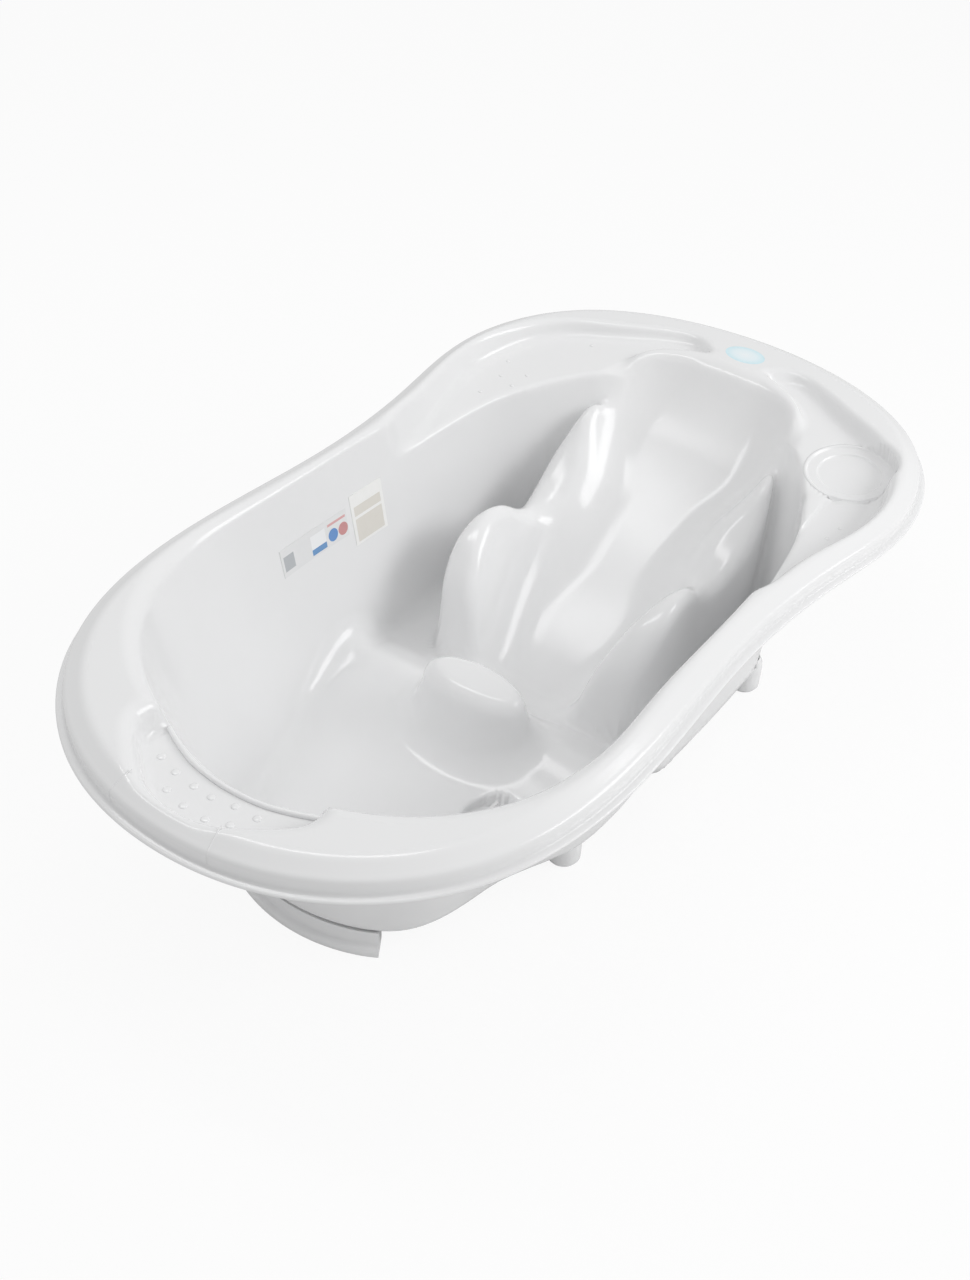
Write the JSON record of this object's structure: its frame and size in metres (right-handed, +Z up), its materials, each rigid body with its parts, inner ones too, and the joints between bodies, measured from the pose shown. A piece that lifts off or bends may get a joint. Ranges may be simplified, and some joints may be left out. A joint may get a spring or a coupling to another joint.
{
  "type": "baby bathtub",
  "caption": "Moulded anatomical baby bath with a reclining cradle, crotch hump, side shelves, cup seat, grip tray and a drain with a lift-out plug.",
  "frame": {"origin": "on the ground under the middle of the bath", "axes": "+X towards the head end, +Y to the wall that carries the stickers, +Z up"},
  "size_m": [0.9203, 0.5206, 0.237],
  "materials": {
    "tub": "glossy moulded polypropylene",
    "drain": "satin moulded plastic",
    "plug": "glossy moulded plastic",
    "gasket": "matt flat rubber",
    "seal": "matt rubber ring",
    "badge": "domed glossy sticker",
    "label": "printed film",
    "strip": "printed film"
  },
  "bodies": {
    "tub": {"tub_shell": "tub", "drain_body": "drain", "drain_gasket": "gasket", "drain_nut": "drain", "oval_badge": "badge", "care_label": "label", "info_strip": "strip"},
    "plug": {"drain_plug": "plug", "plug_seal": "seal"}
  },
  "joints": [
    {"name": "plug_lift", "type": "slide", "parent": "tub", "child": "plug", "axis": [0, 0, 1], "range_m": [0, 0.06]}
  ]
}
